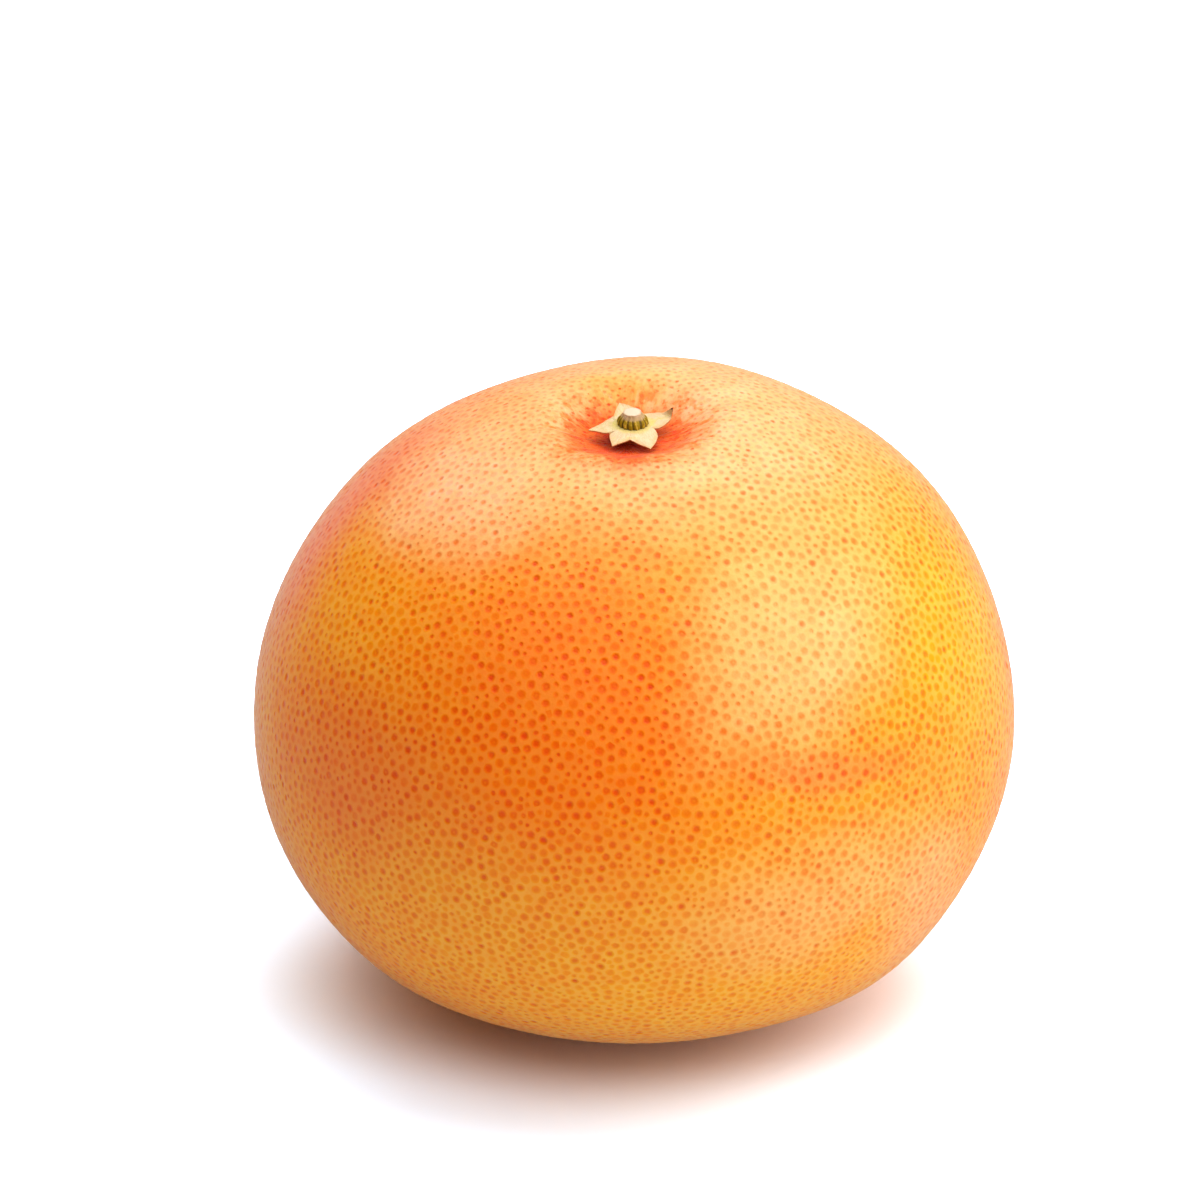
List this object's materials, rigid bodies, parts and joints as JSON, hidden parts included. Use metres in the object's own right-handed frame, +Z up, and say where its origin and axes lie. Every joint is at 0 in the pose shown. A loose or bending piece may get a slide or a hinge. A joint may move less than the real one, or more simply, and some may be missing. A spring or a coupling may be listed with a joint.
{
  "type": "grapefruit",
  "caption": "Whole grapefruit, oblate with a pitted peel and a puckered hollow at the stem end, holding a pale star-shaped calyx and a ribbed stem stub, resting on a small flat spot.",
  "frame": {"origin": "middle of the small flat spot under the fruit, which it rests on", "axes": "+Z up through the stem, -Y towards the side that the picture shows, +X to its right"},
  "size_m": [0.11, 0.11, 0.0922],
  "materials": {
    "peel": "waxy, pitted peel, orange with yellow and pink blush",
    "sepal": "dry, matt, cream with a green tint",
    "stem": "matt, olive green with a pale cut face"
  },
  "bodies": {
    "root": {"fruit": "peel", "calyx": "sepal", "stem_stub": "stem"}
  },
  "joints": []
}
